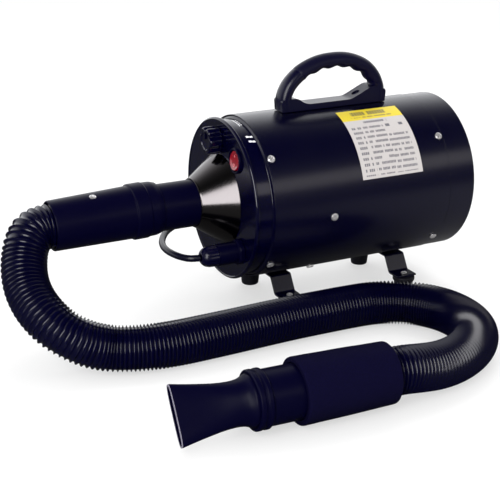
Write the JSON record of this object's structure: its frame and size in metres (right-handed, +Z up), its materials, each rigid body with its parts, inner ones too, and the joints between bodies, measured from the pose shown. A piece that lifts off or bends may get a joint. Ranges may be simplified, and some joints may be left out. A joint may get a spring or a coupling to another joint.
{
  "type": "pet dryer",
  "caption": "Floor-standing pet dryer: round blower on a two-strap stand with carry handle, ribbed hose, foam hand grip, flat nozzle and mains lead.",
  "frame": {"origin": "middle of the machine's footprint on the floor, measured from the outlet stub's end to the rear cover and leaving out the hose, its cuff and the mains lead", "axes": "+X along the blower's axis from the outlet towards the air intake, +Y away from the side with the switch, the rating label and the hose, +Z up from the floor"},
  "size_m": [0.5022, 0.5646, 0.2619],
  "materials": {
    "black_paint": "glossy black powder coat with a faint blue tint",
    "black_plastic": "satin to glossy black moulding",
    "satin_metal": "satin black metal, brightly lit",
    "red_plastic": "glossy red",
    "rubber": "matte black",
    "foam": "matte navy-black closed-cell foam",
    "zinc_steel": "bright plated",
    "steel": "plain bright steel",
    "aluminium": "plain",
    "copper_iron": "varnished windings on iron",
    "circuit_board": "green solder mask",
    "brass": "plain"
  },
  "bodies": {
    "dryer": {"bearing_front": "steel", "bearing_rear": "steel", "body_shell": "black_paint", "filter_foam": "foam", "foam_grip": "foam", "foot_front_far": "rubber", "foot_front_near": "rubber", "foot_rear_far": "rubber", "foot_rear_near": "rubber", "foot_screw_front_far": "zinc_steel", "foot_screw_front_near": "zinc_steel", "foot_screw_rear_far": "zinc_steel", "foot_screw_rear_near": "zinc_steel", "front_cover": "black_paint", "front_screw_1": "zinc_steel", "front_screw_2": "zinc_steel", "front_screw_3": "zinc_steel", "front_screw_4": "zinc_steel", "gland_body": "black_plastic", "gland_nut": "black_plastic", "grip_tube": "black_plastic", "handle_bolt_front": "zinc_steel", "handle_bolt_rear": "zinc_steel", "handle_frame": "black_plastic", "handle_grip": "rubber", "hose_cuff": "black_plastic", "hose_tube": "black_plastic", "intake_grille": "black_plastic", "lead_coil": "black_plastic", "motor_housing": "steel", "motor_mount": "rubber", "motor_screw_1": "zinc_steel", "motor_screw_2": "zinc_steel", "motor_screw_3": "zinc_steel", "motor_screw_4": "zinc_steel", "outlet_cone": "satin_metal", "outlet_stub": "black_paint", "plug_body": "black_plastic", "plug_pins": "brass", "power_cord": "rubber", "power_cord_tail": "rubber", "rear_cover": "black_paint", "rear_screw_1": "zinc_steel", "rear_screw_2": "zinc_steel", "rear_screw_3": "zinc_steel", "rear_screw_4": "zinc_steel", "speed_board": "circuit_board", "speed_control": "aluminium", "stand_bolt_front": "zinc_steel", "stand_bolt_rear": "zinc_steel", "stand_front": "black_paint", "stand_rear": "black_paint", "switch_body": "black_plastic"},
    "fan": {"rotor": "copper_iron", "impeller": "aluminium"},
    "knob": {"speed_knob": "black_plastic"},
    "rocker": {"switch_rocker": "red_plastic"},
    "nozzle_head": {"nozzle": "black_plastic", "nozzle_collar": "black_plastic"}
  },
  "joints": [
    {"name": "fan_spin", "type": "hinge", "parent": "dryer", "child": "fan", "pos_m": [0, 0, 0.121], "axis": [1, 0, 0], "continuous": true},
    {"name": "knob_turn", "type": "hinge", "parent": "dryer", "child": "knob", "pos_m": [-0.08025, 0.0055, 0.1828], "axis": [1, 0, 0], "range_deg": [0, 280]},
    {"name": "rocker_tip", "type": "hinge", "parent": "dryer", "child": "rocker", "pos_m": [-0.07125, -0.037, 0.171], "axis": [0, 1, 0], "range_deg": [-16, 0]},
    {"name": "nozzle_turn", "type": "hinge", "parent": "dryer", "child": "nozzle_head", "pos_m": [-0.13225, -0.264, 0.0308], "axis": [0.999, -0.0436, 0], "continuous": true}
  ]
}
